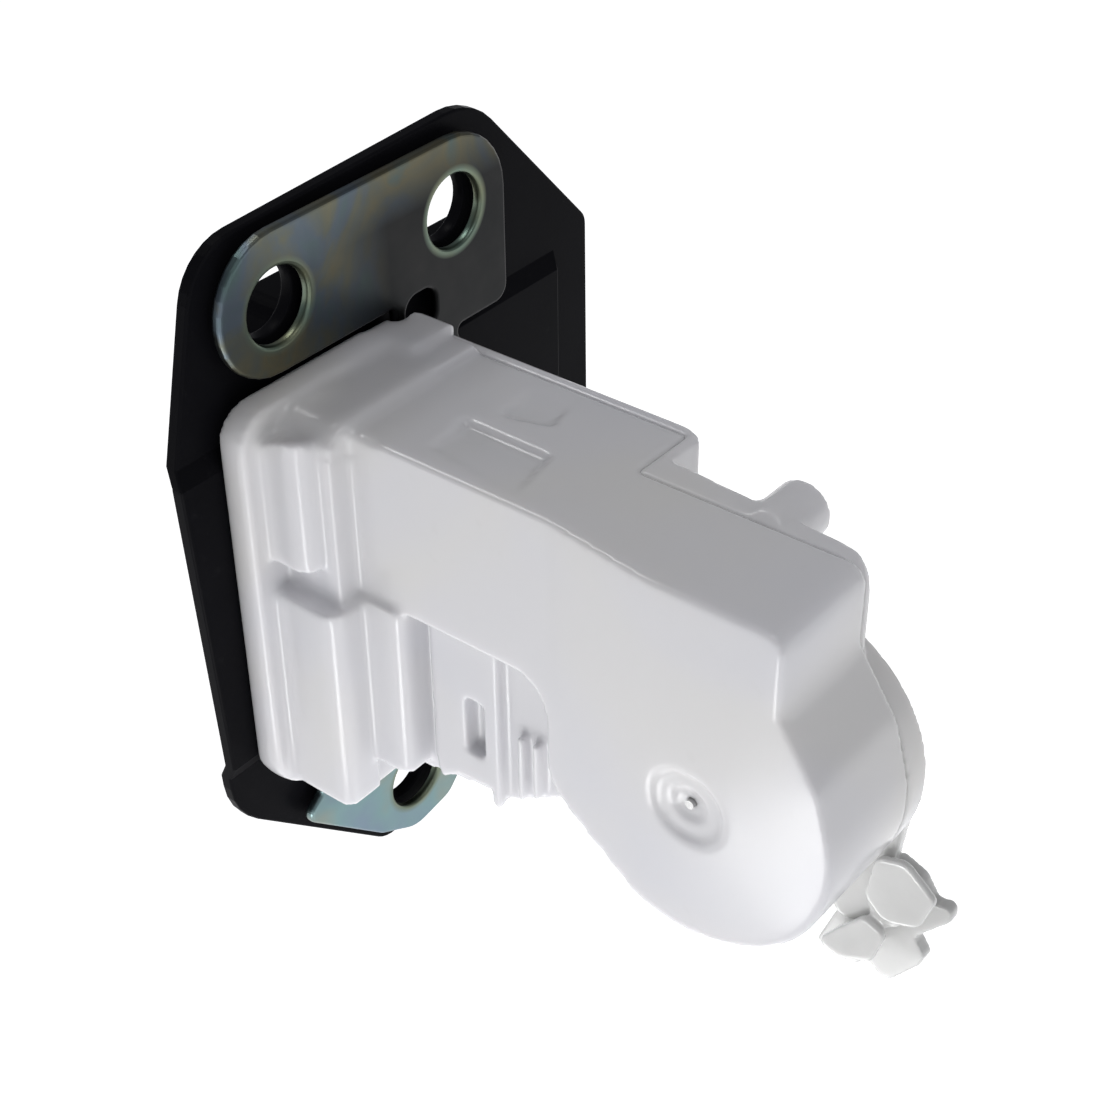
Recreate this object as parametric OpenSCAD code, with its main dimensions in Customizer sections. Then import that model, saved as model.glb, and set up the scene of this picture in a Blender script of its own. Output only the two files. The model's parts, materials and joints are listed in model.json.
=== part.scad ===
/* [Mounting] */
// Radius of the three bolt holes in the plated frame
bolt_hole_r = 5.25; // [4.5:0.05:5.8]
// Distance between the two upper bolt holes
bolt_pitch = 33; // [31:0.5:35]
// Drop from the upper bolt holes to the lower one
low_bolt_drop = 90; // [89:0.25:91]
// Sideways place of the lower bolt hole
low_bolt_y = 18.8; // [17.5:0.1:20]
// Thickness of the plated frame
frame_t = 1.6; // [1.2:0.1:2]
// Thickness of the black cover plate
plate_t = 2; // [1.5:0.1:2.5]
// Gap between frame and cover plate round the upper bolts
plate_gap = 1.3; // [1:0.1:1.6]

/* [Latch] */
// Depth of the latch case behind the cover plate
case_depth = 10; // [9.5:0.25:12]
// Wall of the pressed latch case
case_t = 1.6; // [1.2:0.1:2]
// Width of the striker mouth
mouth_w = 14; // [13.5:0.25:15]
// Sideways place of the middle of the mouth
mouth_y = 44; // [43.5:0.25:44.5]
// Height of the closed end of the mouth
mouth_end_z = -56; // [-57:0.25:-55]
// Radius of the striker bar that the fork takes
striker_r = 5.25; // [4.75:0.25:5.5]
// Thickness of the fork and the pawl
fork_t = 5; // [4:0.25:5.5]
// Radius of the rivet that the fork turns on
fork_pin_r = 4.5; // [4:0.1:5]
// Radius of the rivet that the pawl turns on
pawl_pin_r = 3.5; // [3:0.1:4]
// Turn of the fork from open to closed
fork_swing = 50; // [48:1:50]
// Turn of the pawl from lifted to engaged
pawl_swing = 30; // [29:0.5:31]

/* [Housing] */
// Wall of the moulded housing
wall = 1.5; // [1.2:0.1:1.8]
// Height of the housing's flat top
top_z = -12.6; // [-13:0.1:-12.2]
// Radius of the gear drum
drum_r = 19.8; // [19.2:0.1:20.6]
// Depth of the moulded drum
drum_depth = 17.2; // [17:0.1:17.6]
// Thickness of the rear cover
cover_t = 1.9; // [1.5:0.1:2.2]
// Length of the locating peg on the rear cover
peg_l = 6; // [3:0.1:8]
// Radius of the locating peg
peg_r = 3.8; // [3:0.1:4.5]

/* [Drive] */
// Teeth on the worm wheel
wheel_teeth = 32; // [30:1:32]
// Tooth module of worm and wheel
gear_module = 1; // [0.95:0.01:1]
// Width of the toothed rim
wheel_w = 5.8; // [4.5:0.1:6]
// Diameter of the motor
motor_d = 19.6; // [18:0.2:19.8]
// Width of the motor across its flats
motor_flat = 15; // [13:0.5:15.5]
// Length of the motor can
motor_l = 25; // [22:0.5:26]
// Radius of the motor shaft
shaft_r = 1; // [0.9:0.05:1.2]
// Radius of the wheel's axle
axle_r = 2; // [1.6:0.1:2.4]
// Thickness of the release lever
lever_t = 1.8; // [1.2:0.1:2]

/* [Hidden] */
$fn = 64;
eps = 0.01;
run_fit = 0.05;
free_gap = 0.3;
arc_step = 12;

// Planes of the sheet metal, measured along the plate normal
plate_front = -frame_t - plate_gap;
plate_back = plate_front - plate_t;
band_front = -frame_t;
band_back = band_front - plate_t;
case_floor = plate_back - case_depth;
case_outer = case_floor - case_t;
band_top_z = -19;
band_low_z = -66;
band_end_y = 57;
jog = 2.5;

// Latch pivots as sideways place and height
fork_at = [25, -62];
pawl_at = [12, -38];
fork_x0 = case_floor + 1.5;
fork_x1 = fork_x0 + fork_t;
mouth_r = mouth_w / 2;
mouth_mid_z = mouth_end_z - mouth_r;
slot_r = striker_r + 0.5;
liner_t = 0.8;
slot_at = mouth_y - fork_at[0];
rivet_head = 2;
rivet_head_t = 1.2;
screw_at = [[1.2, -23.5], [17.5, -23.5], [14, -62.3]];
screw_r = 1.6;
boss_r = 3.4;

// Housing planes
neck_y0 = -2;
neck_y1 = 23;
neck_low_z = -37;
panel_low_z = -68;
flange_x1 = 2.8;
block_x1 = 12;
neck_x1 = 50;
neck_bend_x = 43;
neck_end_x = neck_x1 - 4.6;
panel_end_x = 49;
drum_y0 = -4.3;
drum_y1 = drum_y0 + drum_depth;
drum_at = [65.5, top_z - 30.3];
nose_x = 77.2;
drum_foot_x = 42.7;
cover_y1 = neck_y1 + cover_t;
drum_cover_y1 = drum_y1 + 4.4;
nose_cover_y0 = drum_y1 + 4.4;
nose_cover_y1 = drum_y1 + 2.3;
recess_depth = 1;
pin_x0 = 22.8;
pin_z = -48.4;
pin_w = 0.8;
pin_pitch = 2.8;
block_x = [21.5, 32.8];
block_y0 = 0.4;
peg_at = [63, -15.5];

// Drive line
wheel_at = drum_at;
tooth_size = min(gear_module, (drum_r - wall - 1.2) / (wheel_teeth / 2 + 0.75));
pitch_r = tooth_size * wheel_teeth / 2;
worm_pitch_r = 2.7 * tooth_size;
worm_tip_r = worm_pitch_r + 0.8 * tooth_size;
worm_root_r = worm_pitch_r - 1.1 * tooth_size;
worm_lead = PI * tooth_size;
worm_turns = 5;
worm_x0 = wheel_at[0] - worm_turns / 2 * worm_lead;
worm_x1 = worm_x0 + worm_turns * worm_lead;
lead_angle = atan(tooth_size / (2 * worm_pitch_r));
drive_y = drum_y1 - 3.8;
drive_z = wheel_at[1] + pitch_r + worm_pitch_r;
motor_x1 = 41;
motor_x0 = motor_x1 - motor_l;
bush_l = 1.5;
shaft_end = nose_x - wall - free_gap;
wheel_y0 = drive_y - wheel_w / 2;
wheel_y1 = wheel_y0 + wheel_w;
lever_at = [42, -52.5];
lever_y0 = drive_y - 5.2;
lever_y1 = lever_y0 + lever_t;
panel_y0 = lever_y0 - 1.9;
cam_high = 10.85;
cam_low = 7.6;
cam_turn = 60;
follower_r = 2;
follower_at = wheel_at + [-9.3, 9.3];
pawl_peg_r = 2.5;
pawl_peg_arm = 10;
pawl_peg_x1 = 7;

// Points of an arc that rounds corner q between p and s
function unit(v) = v / norm(v);
function arc_points(p, q, s, r) =
    let (a = unit([p[0] - q[0], p[1] - q[1]]),
         b = unit([s[0] - q[0], s[1] - q[1]]),
         half = acos(max(-1, min(1, a * b))) / 2,
         mid = unit(a + b),
         c = [q[0], q[1]] + mid * r / sin(half),
         from = [q[0], q[1]] + a * r / tan(half) - c,
         to = [q[0], q[1]] + b * r / tan(half) - c,
         a0 = atan2(from[1], from[0]),
         turn = (atan2(to[1], to[0]) - a0 + 540) % 360 - 180,
         n = max(2, ceil(abs(turn) / arc_step)))
    [for (i = [0:n]) c + r * [cos(a0 + turn * i / n), sin(a0 + turn * i / n)]];

// Outline whose corners are rounded by their third value
function rounded(pts) = [
    for (i = [0:len(pts) - 1])
        let (p = pts[(i + len(pts) - 1) % len(pts)], q = pts[i], s = pts[(i + 1) % len(pts)])
        for (v = q[2] > 0 ? arc_points(p, q, s, q[2]) : [[q[0], q[1]]]) v
];

// Plate normal extrusion of an outline given as sideways place and height
module slab(x0, x1) {
    translate([x0, 0, 0]) rotate([90, 0, 90]) linear_extrude(x1 - x0) children();
}

// Sideways extrusion of an outline given as place along the normal and height
module side(y0, y1) {
    translate([0, y1, 0]) rotate([90, 0, 0]) linear_extrude(y1 - y0) children();
}

module rod_x(x0, x1, r, at) {
    translate([x0, at[0], at[1]]) rotate([0, 90, 0]) cylinder(h = x1 - x0, r = r);
}

module rod_y(y0, y1, r, at) {
    translate([at[0], y0, at[1]]) rotate([-90, 0, 0]) cylinder(h = y1 - y0, r = r);
}

module frame_outline() {
    polygon(rounded([
        [-9.8, 10.4, 10], [-10.2, -9.3, 9.5], [20.5, -9.3, 1], [20.5, -13.5, 2], [-9.5, -15, 3],
        [-9.5, -69, 3], [-1.2, -71, 3], [-1, -79.8, 1], [-4.7, -82.5, 1.8], [10.6, -96.3, 2],
        [18, -100.3, 6], [26, -98.9, 4], [34.8, -89.8, 2],
        [34.5, -60, 4], [34.5, -23, 3], [32.5, -17.2, 1], [bolt_pitch + 10.5, -17.2, 2.5],
        [bolt_pitch + 10.5, 10.7, 10.6]
    ]));
}

module bolt_bores(x0, x1, r) {
    for (at = [[0, 0], [bolt_pitch, 0], [low_bolt_y, -low_bolt_drop]])
        rod_x(x0, x1, r, at);
}

module peg_window(x0, x1) {
    slab(x0, x1) polygon(rounded([[-2, -33.5, 2], [7, -33.5, 2], [7, -48.5, 2], [-2, -48.5, 2]]));
}

module plate_bores(x0, x1) {
    rod_x(x0, x1, fork_pin_r, fork_at);
    rod_x(x0, x1, pawl_pin_r, pawl_at);
    for (at = screw_at) rod_x(x0, x1, screw_r + 0.1, at);
    peg_window(x0, x1);
}

module latch_frame() {
    color([0.62, 0.65, 0.6]) difference() {
        slab(-frame_t, 0) frame_outline();
        bolt_bores(-frame_t - 1, 1, bolt_hole_r);
        plate_bores(-frame_t - 1, 1);
        slab(-frame_t - 1, 1) polygon(rounded([[22.6, -9, 2.2], [28.6, -9, 2.2], [28.6, -14.8, 2.2],
            [22.6, -14.8, 2.2]]));
    }
}

module mouth(x0, x1) {
    slab(x0, x1) {
        translate([mouth_y, mouth_mid_z]) circle(mouth_r);
        translate([mouth_y - mouth_r, -130]) square([mouth_w, mouth_mid_z + 130]);
    }
}

module plate_outline() {
    polygon(rounded([
        [-10.4, 10.5, 9], [40.8, 12.5, 12], [65.2, -14, 3], [65.8, -84, 8], [54, -98.8, 6],
        [14, -101.5, 5], [-14.9, -75.5, 12], [-15.4, -66, 0], [-17.7, -19, 3]
    ]));
}

// Section of the pressed sheet, with the raised band between its two jogs
module sheet_section(back, front) {
    side(-40, band_end_y) polygon([
        [front, 40], [front, band_top_z + jog], [front + plate_gap, band_top_z],
        [front + plate_gap, band_low_z], [front, band_low_z - jog], [front, -130],
        [back, -130], [back, band_low_z - jog], [back + plate_gap, band_low_z],
        [back + plate_gap, band_top_z], [back, band_top_z + jog], [back, 40]
    ]);
    side(band_end_y, 90) translate([back, -130]) square([front - back, 170]);
}

module cover_plate() {
    color([0.1, 0.1, 0.11]) difference() {
        intersection() {
            sheet_section(plate_back, plate_front);
            slab(plate_back - 1, 0) plate_outline();
        }
        mouth(plate_back - 1, 1);
        bolt_bores(plate_back - 1, 1, bolt_hole_r - 0.25);
        plate_bores(plate_back - 1, 1);
    }
}

module case_outline(inset) {
    polygon(rounded([
        [-4.5 + inset, -11.8 - inset, 4 - inset], [5.5 + inset, -11.8 - inset, 2 + inset],
        [7.5 + inset, -6.5 - inset, 3 - inset], [24.5 - inset, -6.5 - inset, 3 - inset],
        [27 - inset, -11.8 - inset, 2 + inset], [61.5 - inset, -11.8 - inset, 7 - inset],
        [61.5 - inset, -94 + inset, 6 - inset], [28.5 + inset, -94 + inset, 2],
        [22.5 + inset, -81 + inset, 3 + inset], [-4.5 + inset, -81 + inset, 6 - inset]
    ]));
}

module latch_case() {
    color([0.12, 0.12, 0.13]) difference() {
        slab(case_outer, -frame_t) case_outline(0);
        slab(case_floor, 1) case_outline(case_t);
        sheet_section(plate_back, plate_back + 20);
        mouth(case_outer - 1, 1);
        rod_x(case_outer - 1, 1, fork_pin_r, fork_at);
        rod_x(case_outer - 1, 1, pawl_pin_r, pawl_at);
    }
}

// Fork outline in its closed place about its own pivot
module fork_outline() {
    polygon(rounded([
        [24.3, -5.4, 1.6], [21.5, -11.8, 3.5], [10, -12.2, 8], [-4, -12, 6], [-11.5, -5, 6],
        [-12.5, 7, 5], [-15.8, 12.2, 2], [-8.8, 17.3, 1.5], [-0.4, 14.9, 0.5], [-0.4, 11.8, 1],
        [5.5, 11.6, 2], [10.8, 13, 1.5], [12, 19.5, 3], [19, 19.5, 4.5], [25.5, 13, 3],
        [26.5, 5.2, 1.5]
    ]));
}

module striker_slot(r) {
    translate([slot_at, 0]) circle(r);
    translate([slot_at, -r]) square([20, 2 * r]);
}

module at_fork() {
    translate([0, fork_at[0], fork_at[1]]) rotate([-fork_swing, 0, 0]) children();
}

module fork() {
    color([0.42, 0.42, 0.44]) at_fork() difference() {
        slab(fork_x0, fork_x1) difference() {
            fork_outline();
            striker_slot(slot_r + liner_t);
        }
        rod_x(fork_x0 - 1, fork_x1 + 1, fork_pin_r + run_fit, [0, 0]);
        rod_x(fork_x0 - 1, fork_x1 + 1, 1, [-8.5, -3]);
    }
}

module fork_liner() {
    color([0.16, 0.16, 0.17]) at_fork() slab(fork_x0 - 0.4, fork_x1 + 0.4) intersection() {
        difference() {
            striker_slot(slot_r + liner_t);
            striker_slot(slot_r);
        }
        translate([0, -10]) square([24, 20]);
    }
}

module rivet(at, r, over) {
    rod_x(case_outer - rivet_head_t, case_outer, r + rivet_head, at);
    rod_x(case_outer - eps, rivet_head_t, r, at);
    rod_x(case_floor, fork_x0 - 0.2, r + over, at);
    rod_x(0, rivet_head_t, r + rivet_head, at);
}

module fork_rivet() {
    color([0.66, 0.66, 0.66]) rivet(fork_at, fork_pin_r, 1.6);
}

module pawl_rivet() {
    color([0.66, 0.66, 0.66]) rivet(pawl_at, pawl_pin_r, 1.4);
}

module spacer(at, r) {
    difference() {
        rod_x(fork_x1 + 0.2, plate_back, r + 1.2, at);
        rod_x(fork_x1, 0, r, at);
    }
}

module fork_bush() {
    color([0.72, 0.62, 0.35]) spacer(fork_at, fork_pin_r);
}

module pawl_bush() {
    color([0.72, 0.62, 0.35]) spacer(pawl_at, pawl_pin_r);
}

// Wire swept along its points, with a square section turned into an octagon
function frame_at(path, i) =
    let (t = unit(path[min(i + 1, len(path) - 1)] - path[max(i - 1, 0)]),
         n = unit(cross(t, abs(t[0]) > 0.9 ? [0, 1, 0.2] : [1, 0.1, 0])))
    [n, cross(t, n)];

module wire(path, r, sides = 8) {
    rings = [for (i = [0:len(path) - 1])
        let (f = frame_at(path, i))
        for (k = [0:sides - 1])
            path[i] + r * (cos(360 * k / sides) * f[0] + sin(360 * k / sides) * f[1])];
    last = (len(path) - 1) * sides;
    polyhedron(points = rings, faces = concat(
        [[for (k = [0:sides - 1]) k]],
        [[for (k = [sides - 1:-1:0]) last + k]],
        [for (i = [0:len(path) - 2], k = [0:sides - 1])
            [i * sides + k, (i + 1) * sides + k, (i + 1) * sides + (k + 1) % sides,
             i * sides + (k + 1) % sides]]), convexity = 6);
}

// Helical turns about an axis along X, with a straight leg at each end
function coil_x(at, x0, pitch, r, a0, turns, legs) = concat(
    [[x0, at[0] + r * cos(a0) + legs[0] * sin(a0), at[1] + r * sin(a0) - legs[0] * cos(a0)]],
    [for (i = [0:turns * 18])
        [x0 + pitch * i / 18, at[0] + r * cos(a0 + 20 * i), at[1] + r * sin(a0 + 20 * i)]],
    [let (a = a0 + 360 * turns)
        [x0 + pitch * turns, at[0] + r * cos(a) - legs[1] * sin(a),
         at[1] + r * sin(a) + legs[1] * cos(a)]]);

module fork_spring() {
    color([0.5, 0.5, 0.52])
        wire(coil_x(fork_at, fork_x1 + 0.75, 1.05, fork_pin_r + 2.2, 200, 2, [6, 5]), 0.5);
}

module pawl_spring() {
    color([0.5, 0.5, 0.52])
        wire(coil_x(pawl_at, fork_x1 + 1, 1.0, pawl_pin_r + 2, 80, 2.5, [5, 5]), 0.4);
}

// Pawl outline in its engaged place about its own pivot
module pawl_outline() {
    polygon(rounded([
        [-13, 3.2, 3], [2, 7.5, 4], [15, 3.5, 4], [22, -3.5, 3], [20.5, -10.4, 1.2],
        [14.9, -10.4, 0.5], [13.6, -4.6, 1.5], [4, -5, 5], [-3, -5.6, 3], [-13, -3.2, 3]
    ]));
}

module at_pawl() {
    translate([0, pawl_at[0], pawl_at[1]]) rotate([pawl_swing, 0, 0]) children();
}

module pawl() {
    color([0.45, 0.45, 0.47]) at_pawl() difference() {
        slab(fork_x0, fork_x1) pawl_outline();
        rod_x(fork_x0 - 1, fork_x1 + 1, pawl_pin_r + run_fit, [0, 0]);
        rod_x(fork_x0 - 1, fork_x1 + 1, pawl_peg_r - 0.7, [-pawl_peg_arm, 0]);
    }
}

module pawl_peg() {
    color([0.6, 0.6, 0.62]) at_pawl() {
        rod_x(fork_x0, fork_x1 + eps, pawl_peg_r - 0.7, [-pawl_peg_arm, 0]);
        rod_x(fork_x1, pawl_peg_x1, pawl_peg_r, [-pawl_peg_arm, 0]);
    }
}

module striker_buffer() {
    color([0.14, 0.14, 0.15]) difference() {
        slab(fork_x1 + 0.6, band_back) polygon(rounded([
            [mouth_y - 9, -48.5, 2], [mouth_y + 9, -48.5, 2], [mouth_y + 10, -60, 2],
            [mouth_y - 10, -60, 2]]));
        mouth(-20, 1);
    }
}

module flange_outline() {
    polygon(rounded([
        [-11.4, -10.4, 5], [14, -10.4, 12], [24.5, -11.2, 2.5], [24.5, -30, 3], [28, -34, 3],
        [28, -72, 5], [-11.4, -72, 7]
    ]));
}

// Round drum with the straight foot towards the neck, seen from the side
module drum_disc(inset) {
    foot = drum_at + (drum_r - inset) * [cos(242), sin(242)];
    translate(drum_at) circle(drum_r - inset);
    polygon(rounded([
        [drum_at[0], drum_at[1], 0], [foot[0], foot[1], 0],
        [drum_foot_x + inset, foot[1] + 7.2, 7 - inset], [drum_foot_x + inset, neck_low_z + inset, 0]
    ]));
}

// Moulded drum and the worm nose that flares into it
module drum_outline(inset) {
    flare = drum_at + (drum_r - inset + 0.9) * [cos(33), sin(33)];
    rim = drum_at + (drum_r - inset) * [cos(15), sin(15)];
    drum_disc(inset);
    polygon(rounded([
        [44, top_z - inset, 0], [nose_x - inset, top_z - inset, 2.6 - inset],
        [nose_x - inset, drum_at[1] + drum_r - 0.2, 3.5], [flare[0], flare[1], 3], [rim[0], rim[1], 0],
        [drum_at[0], drum_at[1], 0], [44, neck_low_z, 0]
    ]));
}

module neck_outline(inset) {
    polygon(rounded([
        [3, top_z - inset, 0], [neck_x1 + 4, top_z - inset, 0], [neck_x1 + 4, -44, 0],
        [drum_foot_x + 6 + inset, neck_low_z - 6, 0], [drum_foot_x + inset, neck_low_z - 6, 0],
        [drum_foot_x + inset, neck_low_z + inset, 6], [3, neck_low_z + inset, 0]
    ]));
}

// Neck and drum seen from above, with the sloping front and the rounded rear corner
module plan_outline(inset) {
    polygon(rounded([
        [-5, neck_y0 + inset, 0], [neck_bend_x, neck_y0 + inset, 12], [59, drum_y0 + inset, 12],
        [95, drum_y0 + inset, 0], [95, nose_cover_y0, 0], [neck_x1, nose_cover_y0, 1.5],
        [neck_x1 - 3.2 - inset, cover_y1 - inset, 5.5], [-5, cover_y1 - inset, 0]
    ]));
}

module in_plan(inset) {
    intersection() {
        children();
        translate([0, 0, -90]) linear_extrude(90) plan_outline(inset);
    }
}

module panel_outline(inset) {
    polygon(rounded([
        [3, neck_low_z + 6, 0], [panel_end_x - inset, neck_low_z + 6, 0],
        [panel_end_x - inset, -57.5, 0],
        [41.4, -59.4 + inset, 1], [34, -63.8 + inset, 3], [20 - inset, panel_low_z + 2 + inset, 2],
        [3, panel_low_z + inset, 0]
    ]));
}

// Rounded vertical bulge on the outer side of the housing
module bulge(x1, y0, y1, z_top, z_low, r) {
    translate([0, 0, z_low]) linear_extrude(z_top - z_low)
        polygon(rounded([[flange_x1 - 1, y0, 0], [x1, y0, r], [x1, y1, 0], [flange_x1 - 1, y1, 0]]));
}

module housing_solid() {
    slab(band_front + 0.1, flange_x1) flange_outline();
    slab(flange_x1 - eps, block_x1) polygon(rounded([
        [-5.5, -11.4, 4], [neck_y1, -11.4, 1], [neck_y1, -70.5, 3], [-5.5, -70.5, 4]]));
    slab(1, 7.2) polygon([
        [16, -14], [neck_y1, -14], [neck_y1, top_z], [24, top_z], [24, -11], [23.4, -10.5],
        [16, -10.5]]);
    bulge(10, -8.6, -2, -14.6, -32, 2.5);
    bulge(13.4, -8.4, -2, -37.5, -70, 2.5);
    bulge(19.7, -3, 4, -37, -64, 1.5);
    in_plan(0) {
        difference() {
            union() {
                side(neck_y0, neck_y1) neck_outline(0);
                side(panel_y0, neck_y1) panel_outline(0);
            }
            side(drum_y1, neck_y1 + 1) translate([neck_end_x, -80]) square([20, 80]);
        }
        side(drum_y0, drum_y1) drum_outline(0);
    }
}

module housing_hollow() {
    slab(-10, block_x1 - wall) polygon(rounded([
        [-5.5 + wall, -11.4 - wall, 3], [neck_y1 - wall, -11.4 - wall, 1],
        [neck_y1 - wall, -70.5 + wall, 2], [-5.5 + wall, -70.5 + wall, 3]]));
    in_plan(wall) {
        side(neck_y0, neck_y1 + 1) difference() {
            neck_outline(wall);
            translate([neck_x1 - wall, -60]) square([30, 60]);
        }
        side(panel_y0 + wall, neck_y1 + 1) difference() {
            panel_outline(wall);
            translate([neck_x1 - wall, -60]) square([30, 60]);
        }
        side(drum_y0, drum_y1 + 1) intersection() {
            drum_outline(wall);
            translate([neck_x1 - wall - 4, -80]) square([60, 80]);
        }
    }
}

// Shallow sloping recesses and the slit in the flat top
module top_recesses() {
    low = top_z - recess_depth;
    intersection() {
        translate([0, 0, top_z - 2]) linear_extrude(4)
            polygon([[21.4, 9.5], [35, 9.4], [37.5, -0.4], [22.3, 1.8]]);
        slab(20, 39) polygon([[-0.6, top_z], [9.5, low], [9.5, top_z + 1], [-0.6, top_z + 1]]);
    }
    intersection() {
        translate([0, 0, top_z - 2]) linear_extrude(4)
            polygon([[24.4, 12.9], [31.1, 14.6], [29.8, 21], [22.9, 21]]);
        slab(20, 39) polygon([[12.9, low], [21, top_z], [21, top_z + 1], [12.9, top_z + 1]]);
    }
    translate([34.9, 9.3, low]) cube([0.6, 3.2, 4]);
    translate([7.2, 13.3, top_z - 1.2]) cube([0.5, 11, 6]);
}

// Raised block with a window on the lower panel, and the ribs beside it
module panel_relief() {
    side(block_y0, panel_y0 + eps) polygon(rounded([
        [block_x[0], neck_low_z + 1, 0], [block_x[1], neck_low_z + 1, 0],
        [block_x[1], -65.2, 0.6], [block_x[1] - 1.3, -65.4, 0.6], [block_x[1] - 1.5, -62.4, 0.5],
        [block_x[0] + 4, -62.9, 1], [block_x[0] + 0.8, -65.1, 0.5], [block_x[0], -62, 1]]));
    side(0.4, panel_y0 + eps) {
        translate([35.9, -61.5]) square([0.9, 10.5]);
        translate([38.4, -60]) square([0.9, 9.3]);
    }
}

module housing() {
    color([0.9, 0.9, 0.91]) difference() {
        union() {
            difference() {
                housing_solid();
                housing_hollow();
                slab(-10, free_gap / 3) frame_outline();
            }
            for (at = screw_at) rod_x(free_gap / 3, block_x1 - 1, boss_r, at);
            slab(free_gap / 3, block_x1 - 1) translate([screw_at[1][0] - wall / 2, screw_at[1][1]])
                square([wall, top_z - wall / 2 - screw_at[1][1]]);
            panel_relief();
            rod_y(panel_y0, lever_y0 - 0.2, 3.4, lever_at);
            rod_y(drum_y0 + 0.4, wheel_y0 - 2.8, 5.2, wheel_at);
            rod_x(shaft_end - bush_l, nose_x - wall + eps, 3.6, [drive_y, drive_z]);
        }
        for (at = screw_at) rod_x(-2, 10, screw_r, at);
        rod_x(-2, rivet_head_t + free_gap, fork_pin_r + rivet_head + free_gap, fork_at);
        rod_y(panel_y0 + 0.8, lever_y0 + 5, axle_r, lever_at);
        rod_y(drum_y0 - 1, drum_y0 + 0.7, 5.2, wheel_at);
        rod_y(drum_y0 - 1, drum_y0 + 1.3, 2.6, wheel_at);
        rod_y(drum_y0 - 1, drum_y0 + 2, 0.6, wheel_at);
        rod_y(drum_y0 + 1.9, wheel_y0, axle_r, wheel_at);
        side(block_y0 - 1, block_y0 + 2.4) translate([block_x[0] + 5.6, -57.8]) square([3.1, 9.3]);
        top_recesses();
        rod_x(shaft_end - bush_l - eps, nose_x - wall + 2 * eps, 2.5, [drive_y, drive_z]);
    }
}

// Thicker back of the worm nose, sloping towards its free end
module nose_back() {
    intersection() {
        side(drum_y1, nose_cover_y0 + 1) polygon(rounded([
            [neck_end_x, top_z, 0], [nose_x, top_z, 4.5], [nose_x, neck_low_z + 6, 0],
            [neck_end_x, neck_low_z + 6, 0]]));
        translate([0, 0, -60]) linear_extrude(60) polygon(rounded([
            [neck_end_x, 0, 0], [neck_end_x, nose_cover_y0, 0], [neck_x1, nose_cover_y0, 0],
            [nose_x - 0.8, nose_cover_y1, 2], [nose_x + 1, drum_y1 - 1, 0], [nose_x + 1, 0, 0]]));
    }
}

module rear_cover() {
    color([0.88, 0.88, 0.89]) difference() {
        union() {
            in_plan(0) {
                side(neck_y1, cover_y1) {
                    neck_outline(0);
                    panel_outline(0);
                }
                side(drum_y1, drum_cover_y1) difference() {
                    drum_disc(0);
                    translate([20, -90]) square([neck_end_x - 20, 90]);
                }
            }
            nose_back();
            in_plan(0) side(drum_y1, neck_y1 + eps) intersection() {
                union() {
                    neck_outline(0);
                    panel_outline(0);
                }
                translate([neck_end_x, -80]) square([wall, 80]);
            }
            rod_y(drum_y1 + 1, (nose_cover_y0 + nose_cover_y1) / 2 + peg_l, peg_r, peg_at);
            rod_y(drum_cover_y1 - eps, drum_cover_y1 + 1, 5, wheel_at);
            side(cover_y1 - eps, cover_y1 + 12) polygon(rounded([
                [19, -41, 1.5], [38, -41, 1.5], [38, -55, 1.5], [19, -55, 1.5]]));
        }
        side(cover_y1 + 1, cover_y1 + 13) polygon(rounded([
            [20.3, -42.3, 0.8], [36.7, -42.3, 0.8], [36.7, -53.7, 0.8], [20.3, -53.7, 0.8]]));
        rod_y(drum_y1 - 1, drum_cover_y1 + 2, axle_r + 1 + run_fit, wheel_at);
        rod_y(drum_y1 - 1, drum_cover_y1 - cover_t, drum_r - wall, wheel_at);
        for (i = [0:4]) translate([pin_x0 - eps + pin_pitch * i, neck_y1 - 1, pin_z - eps])
            cube([pin_w + 2 * eps, 6, pin_w + 2 * eps]);
    }
}

module housing_screws() {
    color([0.7, 0.7, 0.68]) for (at = screw_at) {
        rod_x(band_back - 2, band_back, 3.2, at);
        rod_x(band_back - eps, 9, screw_r, at);
    }
}

module motor_section(grow) {
    intersection() {
        circle(d = motor_d + grow);
        square([motor_flat + grow, motor_d + 2], center = true);
    }
}

module motor_can() {
    color([0.72, 0.72, 0.72]) difference() {
        translate([0, drive_y, drive_z]) {
            slab(motor_x0, motor_x1) motor_section(0);
            rod_x(motor_x1 - eps, motor_x1 + 1.5, 3.2, [0, 0]);
        }
        rod_x(motor_x0 - 1, motor_x1 + 3, shaft_r + run_fit, [drive_y, drive_z]);
    }
}

module motor_end_cap() {
    color([0.15, 0.15, 0.16]) difference() {
        translate([0, drive_y, drive_z]) {
            slab(motor_x0 - 2.2, motor_x0) motor_section(0);
            rod_x(motor_x0 - 3.4, motor_x0 - 2.2 + eps, 3, [0, 0]);
        }
        rod_x(motor_x0 - 2, motor_x0 + 1, shaft_r + run_fit, [drive_y, drive_z]);
    }
}

module motor_shaft() {
    color([0.75, 0.75, 0.76]) rod_x(motor_x0 - 1.8, shaft_end, shaft_r, [drive_y, drive_z]);
}

// Cross-section radius of the single-start thread at an angle from its crest
function thread_r(a) =
    let (d = abs((a + 540) % 360 - 180), crest = 30, foot = 78)
    d < crest ? worm_tip_r
    : d > foot ? worm_root_r
    : worm_tip_r + (worm_root_r - worm_tip_r) * (d - crest) / (foot - crest);

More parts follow.
